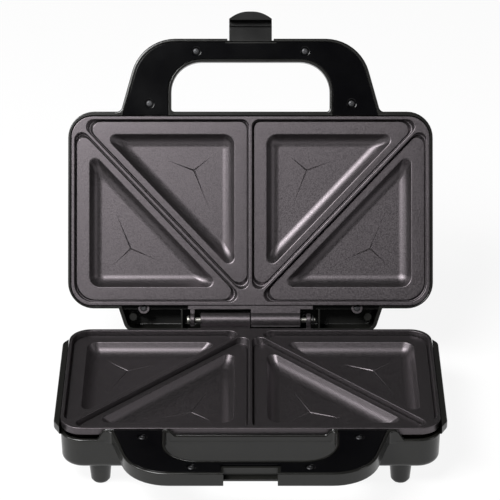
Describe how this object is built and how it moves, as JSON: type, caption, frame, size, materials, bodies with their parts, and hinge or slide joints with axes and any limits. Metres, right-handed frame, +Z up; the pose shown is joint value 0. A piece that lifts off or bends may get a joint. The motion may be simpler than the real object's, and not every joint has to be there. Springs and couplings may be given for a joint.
{
  "type": "sandwich toaster",
  "caption": "Countertop sandwich toaster with hinged cast plates that press and cut triangular pockets, loop handles and a latch.",
  "frame": {"origin": "centre of the footprint, on the surface that the feet stand on, with the lid open as stored", "axes": "+Z up, -Y towards the handles and the user, +X to the user's right, hinge axis along X"},
  "size_m": [0.2712, 0.3254, 0.2465],
  "materials": {
    "housing_plastic": "satin",
    "cover_plastic": "matt",
    "latch_plastic": "satin",
    "cooking_plate": "non-stick coating on cast aluminium",
    "sheet_metal": "bright rolled sheet",
    "heater_sheath": "oxidised sheath",
    "steel": "bright zinc",
    "rubber": "matt",
    "control_metal": "passivated",
    "ceramic": "glazed",
    "wire_sleeve": "woven glass sleeve",
    "red_lens": "clear red",
    "green_lens": "clear green"
  },
  "bodies": {
    "base": {"base_housing": "housing_plastic", "base_handle_cover": "cover_plastic", "base_handle_screws": "steel", "feet": "housing_plastic", "foot_pads": "rubber", "lower_plate": "cooking_plate", "lower_plate_screws": "steel", "lower_heater": "heater_sheath", "lower_heater_clamps": "sheet_metal", "lower_clamp_screws": "steel", "lower_reflector": "sheet_metal", "thermostat": "control_metal", "thermal_fuse": "control_metal", "terminal_block": "ceramic", "base_wiring": "wire_sleeve", "cord_bush": "rubber", "hinge_pin": "steel", "hinge_pin_clip": "steel"},
    "lid": {"lid_housing": "housing_plastic", "lid_handle_cover": "cover_plastic", "lid_handle_screws": "steel", "upper_plate": "cooking_plate", "upper_plate_screws": "steel", "upper_heater": "heater_sheath", "upper_heater_clamps": "sheet_metal", "upper_clamp_screws": "steel", "upper_reflector": "sheet_metal", "latch_pin": "steel", "power_lamp_lens": "red_lens", "ready_lamp_lens": "green_lens", "lamp_holders": "ceramic", "lid_wiring": "wire_sleeve"},
    "latch": {"latch": "latch_plastic"}
  },
  "joints": [
    {"name": "lid_hinge", "type": "hinge", "parent": "base", "child": "lid", "pos_m": [0, 0.04331, 0.0491], "axis": [1, 0, 0], "range_deg": [0, 118.9]},
    {"name": "latch_pivot", "type": "hinge", "parent": "lid", "child": "latch", "pos_m": [0, 0.14534, 0.22306], "axis": [1, 0, 0], "range_deg": [0, 90]}
  ]
}
